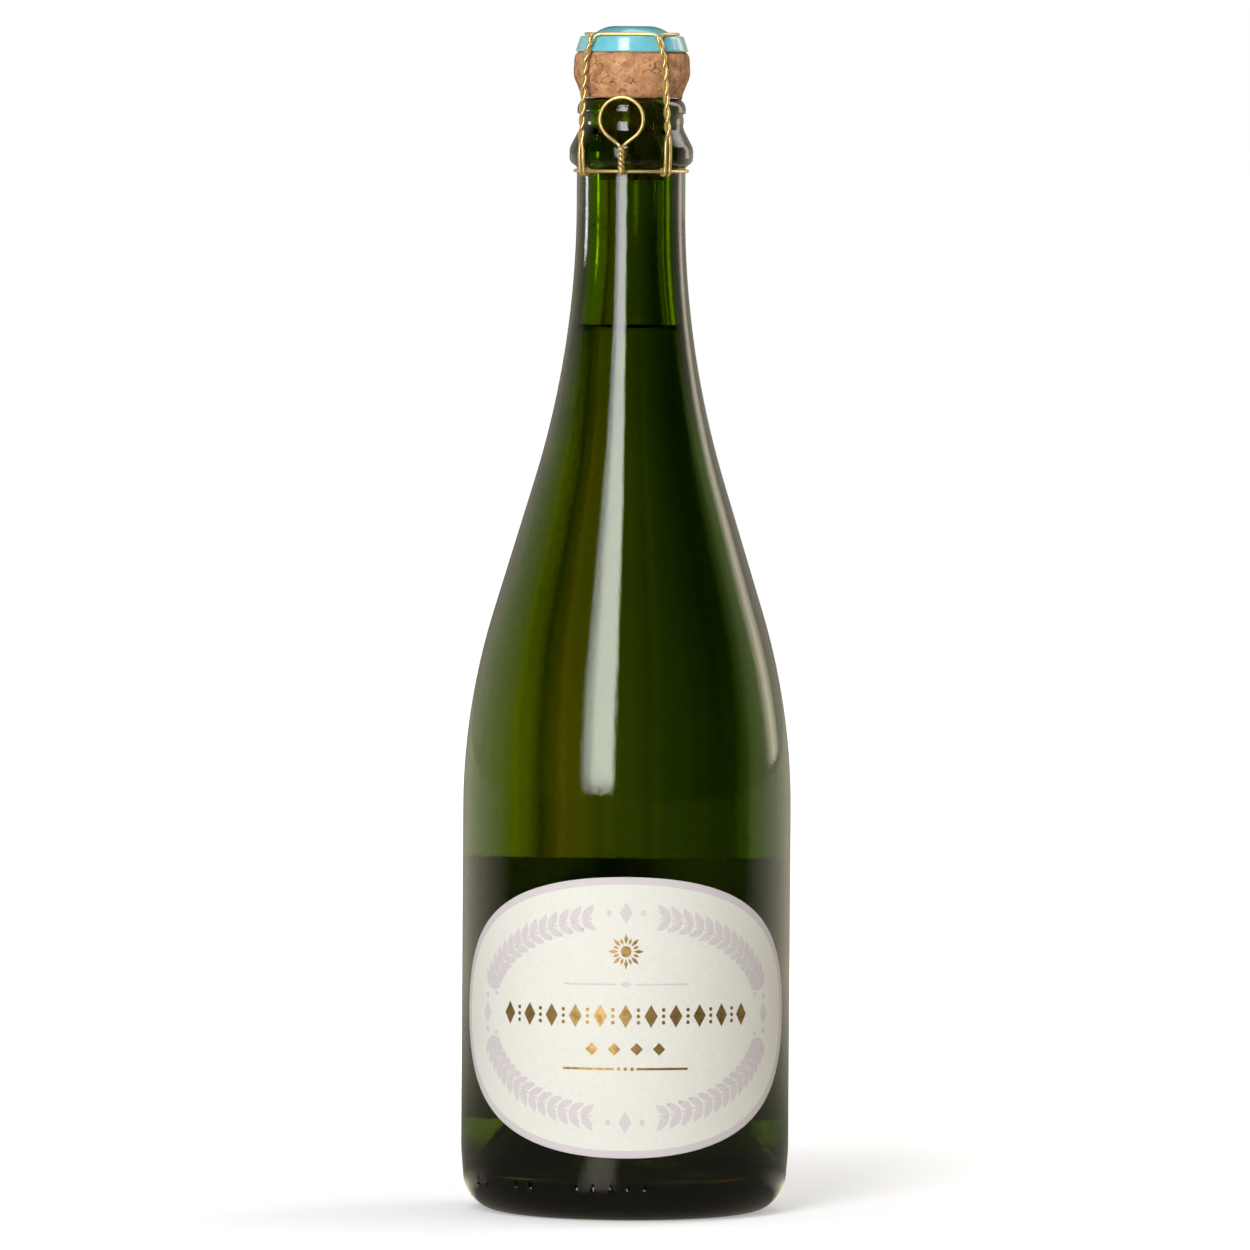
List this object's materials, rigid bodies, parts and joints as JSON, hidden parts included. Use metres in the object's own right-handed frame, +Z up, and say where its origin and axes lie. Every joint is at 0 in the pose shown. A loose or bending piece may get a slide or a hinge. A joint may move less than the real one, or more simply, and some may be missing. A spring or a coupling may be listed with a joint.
{
  "type": "champagne bottle",
  "caption": "Stoppered bottle of sparkling wine in green glass with a punt, an oval paper label, and a mushroom cork held by a plaque and a wire cage with a twist key.",
  "frame": {"origin": "centre of the standing ring on the table", "axes": "+Z up along the bottle's axis, -Y out through the front label, +X to the right as seen from the front"},
  "size_m": [0.0884, 0.0886, 0.3194],
  "materials": {
    "green_glass": "polished",
    "wine": "polished",
    "label_paper": "matte",
    "agglomerate_cork": "matte",
    "natural_cork": "matte",
    "lacquered_plaque": "gloss",
    "gold_wire": "gloss"
  },
  "bodies": {
    "bottle": {"glass_bottle": "green_glass", "wine": "wine", "front_label": "label_paper", "back_label": "label_paper"},
    "cork": {"cork_body": "agglomerate_cork", "cork_disc_upper": "natural_cork", "cork_disc_lower": "natural_cork"},
    "cage": {"plaque": "lacquered_plaque", "cage_frame": "gold_wire", "cage_eyes": "gold_wire", "belt_wire": "gold_wire"},
    "key_base": {"key_root": "gold_wire"},
    "key": {"twist_key": "gold_wire"}
  },
  "joints": [
    {"name": "cork_pull", "type": "slide", "parent": "bottle", "child": "cork", "axis": [0, 0, 1], "range_m": [0, 0.04], "deforming": ["cage_eyes", "belt_wire"]},
    {"name": "cage_lift", "type": "slide", "parent": "cork", "child": "cage", "axis": [0, 0, 1], "range_m": [0, 0.06], "deforming": ["cage_eyes", "belt_wire"]},
    {"name": "key_twist", "type": "hinge", "parent": "cage", "child": "key_base", "pos_m": [-0.0024, -0.01663, 0.2804], "axis": [-0.1426, -0.9898, 0], "range_deg": [0, 1080]},
    {"name": "key_fold", "type": "hinge", "parent": "key_base", "child": "key", "pos_m": [-0.00272, -0.01887, 0.2804], "axis": [0.9898, -0.1426, 0], "range_deg": [0, 120]}
  ]
}
